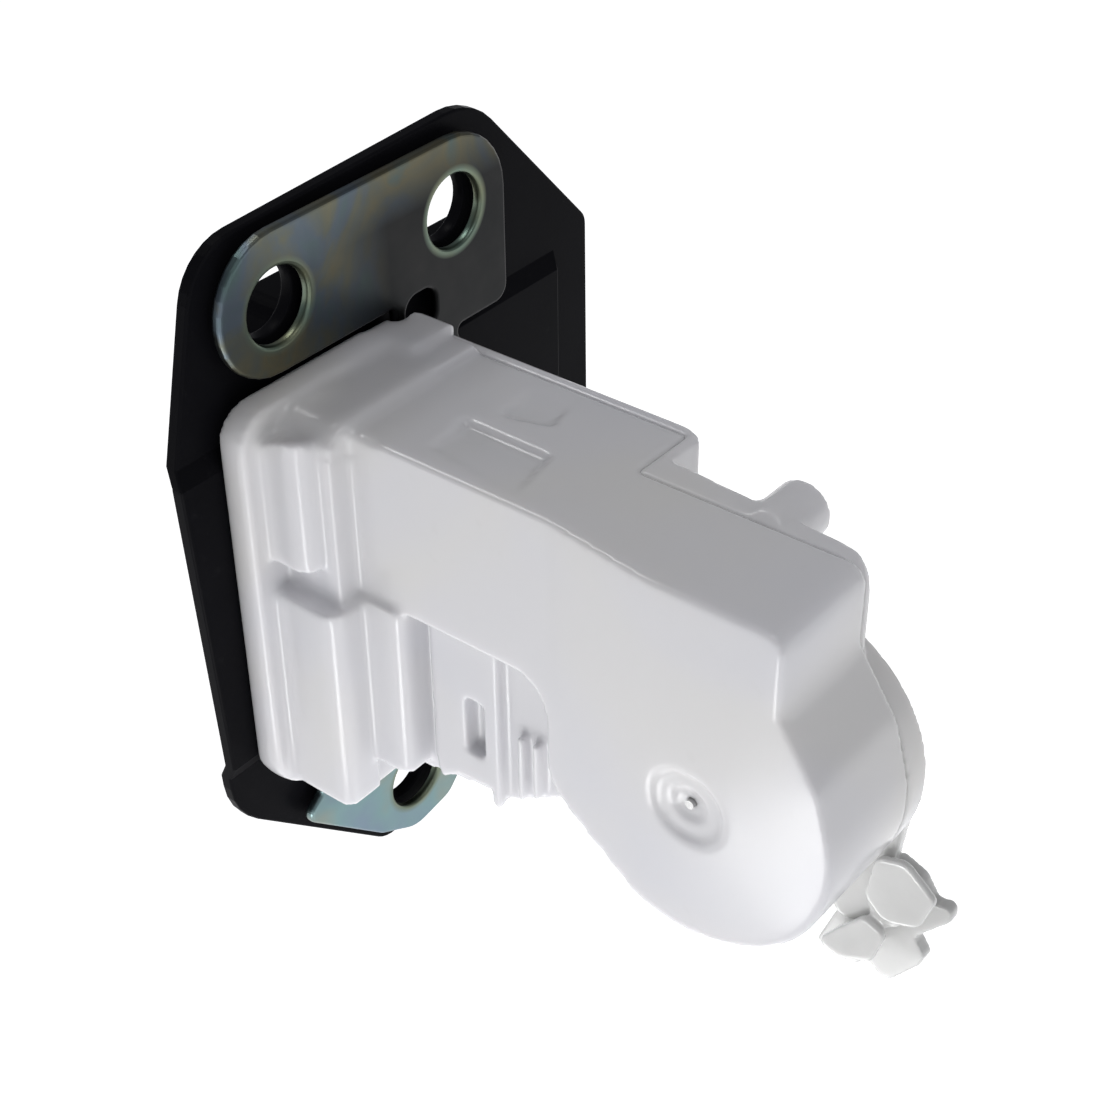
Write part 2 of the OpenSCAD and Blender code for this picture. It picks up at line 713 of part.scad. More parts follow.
module worm() {
    color([0.85, 0.82, 0.7]) difference() {
        translate([worm_x0, drive_y, drive_z]) rotate([0, 90, 0])
            linear_extrude(worm_turns * worm_lead, twist = -360 * worm_turns,
                slices = worm_turns * 12, segments = 7, convexity = 8)
            polygon([for (a = [-180, -110, -78, -30, 30, 78, 110]) thread_r(a) * [cos(a), sin(a)]]);
        rod_x(worm_x0 - 1, worm_x1 + 1, shaft_r, [drive_y, drive_z]);
    }
}

module worm_bush() {
    color([0.72, 0.62, 0.35]) difference() {
        rod_x(shaft_end - bush_l, nose_x - wall, 2.5, [drive_y, drive_z]);
        rod_x(shaft_end - bush_l - 1, shaft_end, shaft_r + run_fit, [drive_y, drive_z]);
    }
}

module wheel_tooth() {
    root = pitch_r - 1.1 * tooth_size;
    tip = pitch_r + 0.75 * tooth_size;
    translate([0, 0, root - 0.4]) rotate([90, 0, -lead_angle])
        linear_extrude(wheel_w / cos(lead_angle) - 0.6, center = true) polygon([
            [-0.85 * tooth_size, 0], [0.85 * tooth_size, 0],
            [0.3 * tooth_size, tip - root + 0.4], [-0.3 * tooth_size, tip - root + 0.4]]);
}

module worm_wheel() {
    root = pitch_r - 1.1 * tooth_size;
    color([0.88, 0.86, 0.8]) difference() {
        union() {
            translate([wheel_at[0], drive_y, wheel_at[1]])
                for (i = [0:wheel_teeth - 1]) rotate([0, 360 * i / wheel_teeth, 0]) wheel_tooth();
            rod_y(wheel_y0, wheel_y1, root, wheel_at);
        }
        rod_y(wheel_y0 - 1, wheel_y0 + 1.6, root - 2.4, wheel_at);
        rod_y(wheel_y0 + 3.2, wheel_y1 + 1, root - 2.4, wheel_at);
        rod_y(wheel_y0 - 1, wheel_y1 + 1, axle_r + 2.2, wheel_at);
    }
}

// Snail cam with its hub, which the wheel and the emergency lever are keyed to
function cam_r(a) = a <= 0 ? max(cam_low, cam_high + a * 0.09)
    : a < cam_turn + 12 ? cam_high - (cam_high - cam_low) * min(1, a / cam_turn)
    : cam_low;

module wheel_cam() {
    follower_angle = atan2(follower_at[1] - wheel_at[1], follower_at[0] - wheel_at[0]);
    color([0.8, 0.78, 0.7]) difference() {
        union() {
            translate([wheel_at[0], 0, wheel_at[1]]) side(wheel_y0 - 2.6, wheel_y0 - 0.1)
                polygon([for (a = [-180:6:174])
                    cam_r(a) * [cos(a + follower_angle), sin(a + follower_angle)]]);
            rod_y(wheel_y0 - 0.2, wheel_y1 + 0.3, axle_r + 2.2, wheel_at);
            rod_y(wheel_y1 + 0.2, drum_cover_y1 + 3.4, axle_r + 1, wheel_at);
        }
        rod_y(wheel_y0 - 3, drum_cover_y1 + 4, axle_r + run_fit, wheel_at);
    }
}

module wheel_axle() {
    color([0.8, 0.8, 0.8]) {
        rod_y(drum_y0 + 1.9, drum_cover_y1 + 3, axle_r, wheel_at);
        rod_y(drum_y0 + 0.8, drum_y0 + 2, 0.6, wheel_at);
    }
}

module release_lever() {
    lever_bend = follower_at + [-6.2, -8.9];
    finger_z = pawl_at[1] - pawl_peg_arm * sin(pawl_swing) + pawl_peg_r + 0.5;
    arm_bend = [12, finger_z - 2];
    color([0.5, 0.52, 0.53]) difference() {
        union() {
            side(lever_y0, lever_y1) {
                hull() {
                    translate(lever_at) circle(4.2);
                    translate([34, lever_at[1] + 2.4]) circle(2.6);
                }
                hull() {
                    translate([34, lever_at[1] + 2.4]) circle(2.6);
                    translate(arm_bend) circle(2);
                }
                hull() {
                    translate(arm_bend) circle(2);
                    translate([5.5, finger_z + 3.4]) circle(2.2);
                }
                hull() {
                    translate(lever_at) circle(4.2);
                    translate(lever_bend) circle(2);
                }
                hull() {
                    translate(lever_bend) circle(2);
                    translate(follower_at) circle(follower_r);
                }
            }
            side(-1.5, lever_y1) polygon(rounded([[3.3, finger_z, 0.8], [7.7, finger_z, 0.8],
                [7.7, finger_z + 4, 0.8], [3.3, finger_z + 4, 0.8]]));
        }
        rod_y(lever_y0 - 1, lever_y1 + 1, axle_r + run_fit, lever_at);
    }
}

module lever_pin() {
    color([0.75, 0.75, 0.75]) {
        rod_y(panel_y0 + 0.8, lever_y1 + 5, axle_r, lever_at);
        rod_y(lever_y1 + 4.2, lever_y1 + 5, axle_r + 1.4, lever_at);
    }
}

module lever_spring() {
    color([0.5, 0.5, 0.52]) wire([for (p = coil_x([lever_at[1], lever_at[0]], lever_y1 + 0.9, 1,
        axle_r + 1.3, 30, 2.5, [4, 4])) [p[2], p[0], p[1]]], 0.35);
}

module emergency_lever() {
    y0 = drum_cover_y1 + 1.2;
    tip_y0 = drum_cover_y1 + 3.7;
    pad_y0 = drum_cover_y1 - 0.6;
    pad_t = 1.1;
    color([0.86, 0.87, 0.86]) difference() {
        union() {
            rod_y(y0, drum_cover_y1 + 3.4, axle_r + 4.5, wheel_at);
            side(y0, y0 + 2) polygon(rounded([
                [61, -41, 3], [69, -38, 3], [82.8, -50, 4], [81.4, -62, 2], [82, -69, 2],
                [75, -74, 2], [60, -46, 3]
            ]));
            side(pad_y0 + 1, tip_y0 + 0.5) polygon(rounded([
                [79, -66, 1], [83.5, -64.5, 1], [84, -69, 1], [80, -71.5, 1]]));
            side(pad_y0 + 1, tip_y0 + 0.5) polygon(rounded([
                [75, -76, 1], [79, -74, 1], [79, -79, 1], [75, -80, 1]]));
            side(pad_y0, pad_y0 + pad_t) polygon(rounded([
                [80, -58.2, 2], [84.2, -57, 2], [88.8, -61, 1], [86.9, -66.6, 2.5], [82, -68.3, 2],
                [79, -65.6, 2]]));
            side(pad_y0, pad_y0 + pad_t) polygon(rounded([
                [75.6, -73.6, 1.5], [79.2, -69.3, 1.2], [82.6, -70.7, 1.2], [81, -76.4, 1.4],
                [76.4, -78.6, 1.2], [72.6, -77.8, 1.2]]));
            side(tip_y0, tip_y0 + 2) polygon(rounded([
                [77, -63, 1], [81.2, -61.4, 2], [84.6, -62.8, 1], [86.6, -65.9, 0.8], [89.2, -65.1, 1],
                [89.3, -67.4, 1], [84.6, -73, 0.8], [86.4, -75.7, 0.8], [85.7, -77.6, 1], [82, -82.6, 1],
                [80.2, -82.8, 1], [78.8, -81.3, 0.8], [74.6, -83.2, 1], [70.4, -82.6, 1],
                [73.5, -74, 2]]));
        }
        rod_y(drum_cover_y1, drum_cover_y1 + 5, axle_r + 1, wheel_at);
    }
}

module limit_switch() {
    color([0.13, 0.13, 0.14]) difference() {
        slab(free_gap, 6.6) polygon([[-3.3, -50], [9, -50], [9, -60], [-3.3, -60]]);
        translate([2.2, 1.2, -56]) cube([3.6, 3.6, 10]);
    }
}

module switch_plunger() {
    color([0.75, 0.2, 0.15]) translate([2.25, 1.25, -54]) cube([3.5, 3.5, 8.2]);
}

module terminal_pins() {
    color([0.78, 0.66, 0.34]) for (i = [0:4])
        translate([pin_x0 + pin_pitch * i, cover_y1 - 6, pin_z]) cube([pin_w, 15, pin_w]);
}

module motor_contacts() {
    color([0.78, 0.66, 0.34]) for (z = [-6, 6])
        translate([motor_x0 - 8, drive_y - 0.3, drive_z + z - 1]) cube([5.8, 0.6, 2]);
}

latch_frame();
cover_plate();
latch_case();
fork();
fork_liner();
fork_rivet();
fork_bush();
fork_spring();
pawl();
pawl_peg();
pawl_rivet();
pawl_bush();
pawl_spring();
striker_buffer();
housing();
rear_cover();
housing_screws();
motor_can();
motor_end_cap();
motor_shaft();
worm();
worm_bush();
worm_wheel();
wheel_axle();
wheel_cam();
release_lever();
lever_pin();
lever_spring();
emergency_lever();
limit_switch();
switch_plunger();
terminal_pins();
motor_contacts();
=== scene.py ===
import bpy
import bmesh
import json
import math
from mathutils import Matrix, Vector


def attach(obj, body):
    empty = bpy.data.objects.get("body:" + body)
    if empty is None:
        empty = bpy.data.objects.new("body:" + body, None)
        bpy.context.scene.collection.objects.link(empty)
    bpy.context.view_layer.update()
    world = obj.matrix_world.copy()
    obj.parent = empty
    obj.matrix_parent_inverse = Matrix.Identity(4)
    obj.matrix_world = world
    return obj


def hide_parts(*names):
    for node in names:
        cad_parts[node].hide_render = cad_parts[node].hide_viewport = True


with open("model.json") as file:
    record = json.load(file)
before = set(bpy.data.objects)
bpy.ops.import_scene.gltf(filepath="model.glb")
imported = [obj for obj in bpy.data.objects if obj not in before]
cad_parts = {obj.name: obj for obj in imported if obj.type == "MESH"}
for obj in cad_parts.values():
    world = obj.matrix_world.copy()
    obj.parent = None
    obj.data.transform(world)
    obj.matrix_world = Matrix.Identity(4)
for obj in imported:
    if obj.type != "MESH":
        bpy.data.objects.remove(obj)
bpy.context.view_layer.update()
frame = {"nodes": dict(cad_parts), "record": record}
NODES = frame["nodes"]
MM = 0.001

# Distance in mm under which two corners of a node's triangles are one
SAME_PLACE = 0.002

# Camera at the photograph's place and angle: place in mm, and the way of its picture's axes
CAMERA_AT = (163.292, -149.499, 118.972)
CAMERA_RIGHT = (0.7820492, 0.6231140, -0.0113122)
CAMERA_DOWN = (0.3547408, -0.4600003, -0.8139770)
CAMERA_FORWARD = (-0.5124041, 0.6325572, -0.5807869)
LENS_PX = 2016.54
FRAME_PX = 1100.0
SENSOR = 36.0

# Bolt holes as sideways place and height in mm, and how far the painted highlight round their rims reaches
# past the edge
BOLTS = ((0.0, 0.0), (33.0, 0.0), (18.8, -90.0))
BOLT_R = 5.25
RIM_FULL = 0.35
RIM_END = 1.3


def make_camera():
    data = bpy.data.cameras.new("camera")
    data.sensor_width = SENSOR
    data.lens = SENSOR * LENS_PX / FRAME_PX
    data.clip_start = 0.01
    data.clip_end = 20.0
    cam = bpy.data.objects.new("camera", data)
    bpy.context.scene.collection.objects.link(cam)
    rows = [[CAMERA_RIGHT[i], -CAMERA_DOWN[i], -CAMERA_FORWARD[i], CAMERA_AT[i] * MM] for i in range(3)]
    cam.matrix_world = Matrix(rows + [[0, 0, 0, 1]])
    bpy.context.scene.camera = cam


make_camera()


# Materials

def new_tree(name):
    mat = bpy.data.materials.new(name)
    mat.use_nodes = True
    tree = mat.node_tree
    tree.nodes.clear()
    out = tree.nodes.new("ShaderNodeOutputMaterial")
    shader = tree.nodes.new("ShaderNodeBsdfPrincipled")
    tree.links.new(shader.outputs["BSDF"], out.inputs["Surface"])
    return mat, tree, shader


def noise(tree, where, scale, detail=4.0, rough=0.55, distort=0.0):
    node = tree.nodes.new("ShaderNodeTexNoise")
    node.inputs["Scale"].default_value = scale
    node.inputs["Detail"].default_value = detail
    node.inputs["Roughness"].default_value = rough
    node.inputs["Distortion"].default_value = distort
    tree.links.new(where, node.inputs["Vector"])
    return node.outputs["Fac"]


def ramp(tree, fac, stops):
    node = tree.nodes.new("ShaderNodeValToRGB")
    elements = node.color_ramp.elements
    while len(elements) < len(stops):
        elements.new(0.5)
    for element, (at, colour) in zip(elements, stops):
        element.position = at
        element.color = (*colour, 1.0)
    tree.links.new(fac, node.inputs["Fac"])
    return node.outputs["Color"]


def to_range(tree, fac, low, high, from_low=0.3, from_high=0.7):
    node = tree.nodes.new("ShaderNodeMapRange")
    node.inputs["From Min"].default_value = from_low
    node.inputs["From Max"].default_value = from_high
    node.inputs["To Min"].default_value = low
    node.inputs["To Max"].default_value = high
    tree.links.new(fac, node.inputs["Value"])
    return node.outputs["Result"]


def mix(tree, fac, a, b, kind="MIX"):
    node = tree.nodes.new("ShaderNodeMix")
    node.data_type = "RGBA"
    node.blend_type = kind
    for value, socket in ((fac, node.inputs[0]), (a, node.inputs[6]), (b, node.inputs[7])):
        if isinstance(value, bpy.types.NodeSocket):
            tree.links.new(value, socket)
        else:
            socket.default_value = value if isinstance(value, float) else (*value, 1.0)
    return node.outputs[2]


def bump(tree, height, strength, distance, after=None):
    node = tree.nodes.new("ShaderNodeBump")
    node.inputs["Strength"].default_value = strength
    node.inputs["Distance"].default_value = distance
    tree.links.new(height, node.inputs["Height"])
    if after:
        tree.links.new(after, node.inputs["Normal"])
    return node.outputs["Normal"]


def object_coords(tree):
    return tree.nodes.new("ShaderNodeTexCoord").outputs["Object"]


def surface(name, dark, light, rough, metal=0.0, tone=60.0, grain=1500.0, grain_depth=0.00002,
            spec=0.5, coat=0.0, scatter=0.0, radius=(1.0, 1.0, 1.0), scatter_scale=0.003,
            wear=None, wear_scale=400.0, ior=1.5):
    """Finish with mottled colour, uneven gloss, coarse and fine grain, and worn spots if wanted."""
    mat, tree, shader = new_tree(name)
    shader.inputs["IOR"].default_value = ior
    where = object_coords(tree)
    colour = ramp(tree, noise(tree, where, tone, 5.0), [(0.3, dark), (0.7, light)])
    if wear:
        spots = ramp(tree, noise(tree, where, wear_scale, 6.0, 0.7), [(0.62, (0, 0, 0)), (0.74, (1, 1, 1))])
        colour = mix(tree, spots, colour, wear)
    tree.links.new(colour, shader.inputs["Base Color"])
    shader.inputs["Metallic"].default_value = metal
    shader.inputs["Specular IOR Level"].default_value = spec
    shader.inputs["Coat Weight"].default_value = coat
    shader.inputs["Coat Roughness"].default_value = 0.2
    rough_low, rough_high = rough
    tree.links.new(to_range(tree, noise(tree, where, tone * 4.0, 4.0), rough_low, rough_high),
                   shader.inputs["Roughness"])
    coarse = bump(tree, noise(tree, where, grain * 0.12, 3.0), 0.25, grain_depth * 3)
    fine = bump(tree, noise(tree, where, grain, 2.0), 0.5, grain_depth, coarse)
    tree.links.new(fine, shader.inputs["Normal"])
    if scatter:
        shader.inputs["Subsurface Weight"].default_value = scatter
        shader.inputs["Subsurface Radius"].default_value = radius
        shader.inputs["Subsurface Scale"].default_value = scatter_scale
    return mat


def bolt_rim(tree, split, place):
    """Mask that is 1 round a bolt hole and 0 away from it."""
    away = tree.nodes.new("ShaderNodeVectorMath")
    away.operation = "DISTANCE"
    flat = tree.nodes.new("ShaderNodeCombineXYZ")
    tree.links.new(split.outputs["Y"], flat.inputs["X"])
    tree.links.new(split.outputs["Z"], flat.inputs["Y"])
    tree.links.new(flat.outputs["Vector"], away.inputs[0])
    away.inputs[1].default_value = (place[0] * MM, place[1] * MM, 0.0)
    return to_range(tree, away.outputs["Value"], 1.0, 0.0, (BOLT_R + RIM_FULL) * MM, (BOLT_R + RIM_END) * MM)


def plated(name):
    """Zinc plating whose faint colours shift from blue to straw, with painted shade darkening it towards the
    right, a painted lighter bluish reflection on the low lobe and a painted highlight round the bolt holes.
    """
    mat, tree, shader = new_tree(name)
    where = object_coords(tree)
    split = tree.nodes.new("ShaderNodeSeparateXYZ")
    tree.links.new(where, split.inputs["Vector"])
    film = ramp(tree, noise(tree, where, 60.0, 4.0, 0.5, 1.5), [
        (0.30, (0.11, 0.165, 0.16)), (0.42, (0.12, 0.15, 0.18)), (0.52, (0.15, 0.16, 0.13)),
        (0.62, (0.19, 0.175, 0.11)), (0.72, (0.13, 0.17, 0.155))])
    # Painted shade: a darker zinc colour that stands in for shade and dark reflections on the right of the
    # bracket.
    painted_shade = ramp(tree, noise(tree, where, 70.0, 4.0), [
        (0.3, (0.010, 0.011, 0.012)), (0.7, (0.022, 0.022, 0.022))])
    # Painted reflection: a lighter bluish colour on the low lobe that stands in for the light it reflects.
    lobe_painted_reflection = ramp(tree, noise(tree, where, 50.0, 3.0), [
        (0.35, (0.19, 0.24, 0.33)), (0.55, (0.19, 0.30, 0.31)), (0.7, (0.27, 0.28, 0.23))])
    # Mask of the painted shade, growing towards +Y.
    along = to_range(tree, split.outputs["Y"], 0.0, 1.0, -0.004, 0.020)
    # Mask of the painted reflection: 1 on the lobe below Z -85 mm, fading out by Z -70 mm.
    lower = to_range(tree, split.outputs["Z"], 1.0, 0.0, -0.085, -0.070)
    # Mask that eases the painted shade above Z 3 mm, back towards the film colour.
    edge = to_range(tree, split.outputs["Z"], 0.0, 0.6, 0.003, 0.010)
    base = mix(tree, lower, mix(tree, edge, mix(tree, along, film, painted_shade), film), lobe_painted_reflection)
    # Painted highlight round each bolt hole's rim, in the plating's cyan and straw tints.
    for place in BOLTS:
        rim_highlight = mix(tree, noise(tree, where, 160.0, 2.0), (0.10, 0.19, 0.18), (0.24, 0.22, 0.12))
        base = mix(tree, bolt_rim(tree, split, place), base, rim_highlight)
    tree.links.new(base, shader.inputs["Base Color"])
    shader.inputs["Metallic"].default_value = 1.0
    tree.links.new(to_range(tree, noise(tree, where, 260.0, 6.0), 0.285, 0.40), shader.inputs["Roughness"])
    stretch = tree.nodes.new("ShaderNodeMapping")
    stretch.inputs["Scale"].default_value = (1.0, 0.15, 1.0)
    tree.links.new(where, stretch.inputs["Vector"])
    rolled = bump(tree, noise(tree, stretch.outputs["Vector"], 2200.0, 2.0), 0.25, 0.000006)
    tree.links.new(bump(tree, noise(tree, where, 150.0, 3.0), 0.2, 0.00004, rolled), shader.inputs["Normal"])
    return mat


def moulding(name):
    """White moulded plastic, slightly translucent, with faint warm and cool clouds."""
    mat, tree, shader = new_tree(name)
    where = object_coords(tree)
    clouds = ramp(tree, noise(tree, where, 28.0, 2.0, 0.5, 0.6), [
        (0.30, (0.665, 0.665, 0.695)), (0.50, (0.685, 0.68, 0.695)), (0.68, (0.70, 0.69, 0.675))])
    specks = ramp(tree, noise(tree, where, 330.0, 2.0, 0.4), [(0.70, (0, 0, 0)), (0.80, (0.12, 0.12, 0.12))])
    tree.links.new(mix(tree, specks, clouds, (0.60, 0.59, 0.58)), shader.inputs["Base Color"])
    tree.links.new(to_range(tree, noise(tree, where, 120.0, 4.0), 0.17, 0.25), shader.inputs["Roughness"])
    shader.inputs["Specular IOR Level"].default_value = 0.45
    shader.inputs["Subsurface Weight"].default_value = 0.55
    shader.inputs["Subsurface Radius"].default_value = (1.0, 0.95, 0.95)
    shader.inputs["Subsurface Scale"].default_value = 0.0022
    sink = bump(tree, noise(tree, where, 55.0, 2.0), 0.2, 0.0002)
    tree.links.new(bump(tree, noise(tree, where, 2600.0, 2.0), 0.35, 0.000008, sink), shader.inputs["Normal"])
    return mat


MATERIALS = {
    "plated_steel": plated("plated_steel"),
    "black_painted_steel": surface("black_paint", (0.0045, 0.0045, 0.0056), (0.0066, 0.0066, 0.0082),
                                   (0.285, 0.40), tone=50.0, grain=1800.0, ior=1.08,
                                   wear=(0.010, 0.010, 0.011)),
    "latch_steel": surface("latch_steel", (0.30, 0.30, 0.31), (0.42, 0.42, 0.42), (0.30, 0.45), 1.0,
                           wear=(0.18, 0.15, 0.13)),
    "liner_plastic": surface("liner_plastic", (0.02, 0.02, 0.022), (0.035, 0.035, 0.038), (0.45, 0.6)),
    "rivet_steel": surface("rivet_steel", (0.45, 0.45, 0.45), (0.58, 0.58, 0.57), (0.22, 0.36), 1.0,
                           wear=(0.35, 0.33, 0.28)),
    "bush_brass": surface("bush_brass", (0.50, 0.37, 0.16), (0.66, 0.52, 0.27), (0.28, 0.42), 1.0),
    "spring_wire": surface("spring_wire", (0.36, 0.36, 0.37), (0.50, 0.50, 0.50), (0.25, 0.38), 1.0),
    "buffer_rubber": surface("buffer_rubber", (0.016, 0.016, 0.017), (0.03, 0.03, 0.03), (0.65, 0.8)),
    "housing_plastic": moulding("housing_plastic"),
    "screw_steel": surface("screw_steel", (0.42, 0.42, 0.38), (0.55, 0.54, 0.50), (0.28, 0.42), 1.0),
    "motor_steel": surface("motor_steel", (0.45, 0.45, 0.45), (0.56, 0.56, 0.56), (0.30, 0.42), 1.0),
    "black_plastic": surface("black_plastic", (0.02, 0.02, 0.022), (0.032, 0.032, 0.034), (0.42, 0.58)),
    "gear_plastic": surface("gear_plastic", (0.62, 0.58, 0.48), (0.72, 0.69, 0.60), (0.38, 0.5),
                            scatter=0.3, radius=(1.0, 0.9, 0.7), scatter_scale=0.0015),
    "lever_plastic": surface("lever_plastic", (0.52, 0.52, 0.51), (0.60, 0.60, 0.59), (0.06, 0.13),
                             tone=80.0, spec=0.6, coat=0.6, scatter=0.6, scatter_scale=0.003),
    "plunger_plastic": surface("plunger_plastic", (0.38, 0.05, 0.04), (0.5, 0.08, 0.06), (0.3, 0.4)),
    "contact_brass": surface("contact_brass", (0.55, 0.46, 0.26), (0.70, 0.62, 0.38), (0.22, 0.34), 1.0),
}

SLOTS = {entry["node"]: entry["material_slot"] for entry in frame["record"]["subparts"]}

# Width in mm and segments of the rounded edges of pressed, turned and moulded nodes
BEVELS = {
    "latch_frame": (0.55, 4), "cover_plate": (0.35, 3), "latch_case": (0.6, 3), "fork": (0.4, 2),
    "fork_liner": (0.2, 2), "pawl": (0.4, 2), "housing_screws": (0.25, 2), "motor_can": (0.5, 3),
    "striker_buffer": (0.5, 2), "fork_rivet": (0.35, 2), "pawl_rivet": (0.35, 2),
    "terminal_pins": (0.15, 2), "limit_switch": (0.2, 2), "release_lever": (0.2, 2),
    "motor_end_cap": (0.3, 2)}


def soften(obj, width, segments):
    """Join the loose triangles into flat faces and round their edges."""
    weld = obj.modifiers.new("join", "WELD")
    weld.merge_threshold = SAME_PLACE * MM
    flat = obj.modifiers.new("flat_faces", "DECIMATE")
    flat.decimate_type = "DISSOLVE"
    flat.angle_limit = math.radians(0.6)
    bevel = obj.modifiers.new("soft_edges", "BEVEL")
    bevel.width = width * MM
    bevel.segments = segments
    bevel.limit_method = "ANGLE"
    bevel.angle_limit = math.radians(32)
    bevel.use_clamp_overlap = False


def dress_nodes():
    for name, obj in NODES.items():
        obj.data.materials.clear()
        obj.data.materials.append(MATERIALS[SLOTS[name]])
        if name in BEVELS:
            soften(obj, *BEVELS[name])


dress_nodes()


# Mouldings with soft edges, all sizes in mm

HOUSING_VOXEL = 0.5
LEVER_VOXEL = 0.28
EDGE_ROUNDS = 2
ARC_ROUNDS = 14
FILLET_ROUNDS = 3

# Hollow depths of a slightly rounded outer edge, and the least one of an inner corner
OUTER_EDGE = (-0.03, -0.002)
INNER_CORNER = 0.004

# Seam between housing and rear cover, which steps sideways at SEAM_X
SEAM_X = 45.4
SEAM_LOW_Y = 12.9
SEAM_HIGH_Y = 23.0
SEAM_BAND = 0.9
STEP_BAND = 1.2
STEP_LOW_Y = 12
STEP_HIGH_Y = 24

# Places with fine detail, where no broad fillet is made: dimple, slot, socket and top recesses
DETAIL_BOXES = [
    ((20, -3, -70), (42, 4, -37)),
    ((59, -6, -50), (72, -1, -36)),
    ((18, 35, -56), (39, 45, -40)),
    ((5, -3, -16), (39, 26, -8))]


# Stretches drawn into an even curve: two corners of a box, and the axes along which they move
ARCS = [
    ((-3, -13, -75), (3.1, 25, -5), (False, True, True)),
    ((52, -3.4, -70), (90, 12.0, -13.4), (True, False, True)),
    ((52, 13.8, -70), (90, 16.6, -13.4), (True, False, True)),
    ((0.5, 8, -13), (11.4, 22.0, -9), (True, True, True)),
    ((7.8, -7, -13.4), (17, 15, -10.6), (True, True, True))]

# Top of the upper bulge: two corners of a box, and how much what it holds is lifted
BULGE_TOP = [((2.9, -9, -14.7), (10.1, -2.1, -14.5), 2.0)]


def inside(point, low, high):
    return all(low[i] < point[i] < high[i] for i in range(3))


def near_seam(point):
    seam_y = SEAM_LOW_Y if point[0] > SEAM_X else SEAM_HIGH_Y
    at_step = abs(point[0] - SEAM_X) < STEP_BAND and STEP_LOW_Y < point[1] < STEP_HIGH_Y
    return abs(point[1] - seam_y) < SEAM_BAND or at_step


def even_mesh(name, voxel, raised=()):
    """Copy of a node as a closed mesh of small even faces, with the raised places lifted first."""
    bm = bmesh.new()
    bm.from_mesh(NODES[name].data)
    bmesh.ops.remove_doubles(bm, verts=bm.verts, dist=SAME_PLACE * MM)
    for low, high, lift in raised:
        held = [v for v in bm.verts if inside([c / MM for c in v.co], low, high)]
        bmesh.ops.translate(bm, verts=held, vec=(0, 0, lift * MM))
    mesh = bpy.data.meshes.new(name + "_even")
    bm.to_mesh(mesh)
    bm.free()
    obj = bpy.data.objects.new(name + "_even", mesh)
    bpy.context.scene.collection.objects.link(obj)
    remesh = obj.modifiers.new("even", "REMESH")
    remesh.mode = "VOXEL"
    remesh.voxel_size = voxel * MM
    shape = bpy.data.meshes.new_from_object(obj.evaluated_get(bpy.context.evaluated_depsgraph_get()))
    bpy.data.objects.remove(obj)
    return shape


def smooth(bm, verts, rounds, axes=(True, True, True)):
    for _ in range(rounds):
        bmesh.ops.smooth_vert(bm, verts=verts, factor=0.5, use_axis_x=axes[0], use_axis_y=axes[1],
                              use_axis_z=axes[2])


def hollow_depth(vert):
    """Height in mm of the neighbours above a vertex, more than 0 in an inner corner."""
    around = [edge.other_vert(vert).co for edge in vert.link_edges]
    middle = sum(around, Vector()) / len(around)
    return (middle - vert.co).dot(vert.normal) / MM


def needs_fillet(vert):
    depth = hollow_depth(vert)
    return OUTER_EDGE[0] < depth < OUTER_EDGE[1] or depth > INNER_CORNER


def ride_with_node(piece, node):
    for body, nodes in frame["record"]["behaviour"]["bodies"].items():
        if node in nodes:
            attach(piece, body)


def moulded(name, piece_name, voxel, fillets=0, keep=None, detail=(), arcs=(), raised=()):
    """Node remade with softened edges and broad fillets in its inner corners.

    What keep() holds isn't moved, and the detail boxes get no broad fillet.
    """
    shape = even_mesh(name, voxel, raised)
    bm = bmesh.new()
    bm.from_mesh(shape)
    points = {v: [c / MM for c in v.co] for v in bm.verts}
    free = [v for v in bm.verts if not (keep and keep(points[v]))]
    broad = [v for v in free if not any(inside(points[v], *box) for box in detail)]
    for low, high, axes in arcs:
        smooth(bm, [v for v in free if inside(points[v], low, high)], ARC_ROUNDS, axes)
    smooth(bm, free, EDGE_ROUNDS)
    for _ in range(fillets):
        bm.normal_update()
        smooth(bm, [v for v in broad if needs_fillet(v)], FILLET_ROUNDS)
    for face in bm.faces:
        face.smooth = True
    bm.to_mesh(shape)
    bm.free()
    piece = bpy.data.objects.new(piece_name, shape)
    bpy.context.scene.collection.objects.link(piece)
    shape.materials.clear()
    shape.materials.append(MATERIALS[SLOTS[name]])
    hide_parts(name)
    ride_with_node(piece, name)


moulded("housing", "housing_moulding", HOUSING_VOXEL, 2, near_seam, DETAIL_BOXES, ARCS, BULGE_TOP)
moulded("rear_cover", "rear_moulding", HOUSING_VOXEL, 2, near_seam, DETAIL_BOXES, ARCS)
moulded("emergency_lever", "hand_lever", LEVER_VOXEL)


# Floor and light, with places and sizes in metres and power in watts

FLOOR_AT = -0.125
FLOOR_HALF = 4.0

# The low light faces straight up, with its long side turned along the drum's lower edge
LOW_LIGHT_TURN = -63


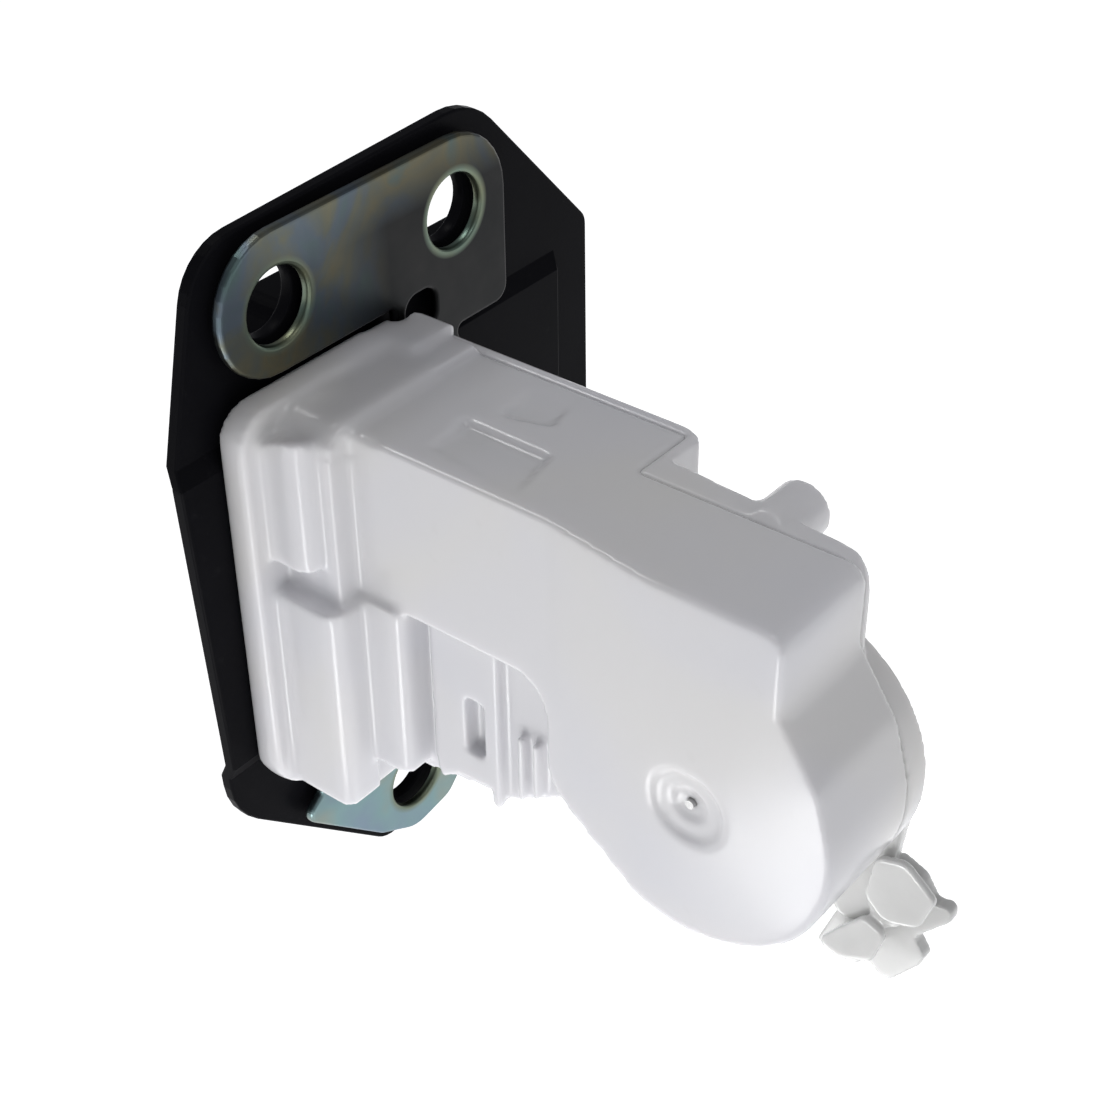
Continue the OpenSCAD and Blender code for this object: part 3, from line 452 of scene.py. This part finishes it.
def make_floor():
    mesh = bpy.data.meshes.new("floor")
    bm = bmesh.new()
    bmesh.ops.create_grid(bm, x_segments=1, y_segments=1, size=FLOOR_HALF)
    bm.to_mesh(mesh)
    bm.free()
    obj = bpy.data.objects.new("floor", mesh)
    obj.location = (0, 0, FLOOR_AT)
    bpy.context.scene.collection.objects.link(obj)
    mat, tree, shader = new_tree("floor_white")
    shade = noise(tree, object_coords(tree), 3.0)
    colour = ramp(tree, shade, [(0.3, (0.90, 0.90, 0.90)), (0.7, (0.93, 0.93, 0.93))])
    tree.links.new(colour, shader.inputs["Base Color"])
    shader.inputs["Roughness"].default_value = 0.9
    shader.inputs["Specular IOR Level"].default_value = 0.1
    shader.inputs["Emission Color"].default_value = (1, 1, 1, 1)
    shader.inputs["Emission Strength"].default_value = 0.85
    mesh.materials.append(mat)


def area_light(name, at, target, size, power):
    """Rectangular light that faces its target."""
    data = bpy.data.lights.new(name, "AREA")
    data.shape = "RECTANGLE"
    data.size, data.size_y = size
    data.energy = power
    obj = bpy.data.objects.new(name, data)
    obj.location = at
    obj.rotation_euler = (Vector(target) - Vector(at)).to_track_quat("-Z", "Y").to_euler()
    bpy.context.scene.collection.objects.link(obj)
    return obj


def make_sky():
    """Soft grey surround, darker overhead."""
    world = bpy.data.worlds.new("world")
    bpy.context.scene.world = world
    world.use_nodes = True
    tree = world.node_tree
    back = tree.nodes["Background"]
    split = tree.nodes.new("ShaderNodeSeparateXYZ")
    tree.links.new(tree.nodes.new("ShaderNodeTexCoord").outputs["Generated"], split.inputs["Vector"])
    tree.links.new(ramp(tree, split.outputs["Z"], [(0.0, (0.33, 0.34, 0.36)), (0.9, (0.15, 0.15, 0.16))]),
                   back.inputs["Color"])


def make_lights():
    """A broad main light, and small ones that draw glints along the edges."""
    middle = (0.03, 0.01, -0.04)
    area_light("key", (0.30, -0.62, 0.12), middle, (0.35, 0.35), 0.17)
    area_light("beside_camera", (0.44, -0.17, 0.16), middle, (0.08, 0.08), 0.05)
    area_light("edge_above", (-0.19, 0.02, 0.32), middle, (0.10, 0.10), 0.24)
    low = area_light("edge_low", (0.06, -0.111, -0.122), (0.06, -0.111, 0.0), (0.10, 0.035), 0.075)
    low.rotation_euler = (math.pi, 0.0, math.radians(LOW_LIGHT_TURN))
    area_light("edge_under", (0.06, -0.005, -0.123), (0.06, -0.005, 0.0), (0.03, 0.03), 0.006)
    area_light("over_end", (0.11, -0.01, 0.15), (0.07, 0.01, -0.02), (0.10, 0.10), 0.075)


make_floor()
make_sky()
make_lights()
bpy.context.scene.view_settings.view_transform = "Standard"
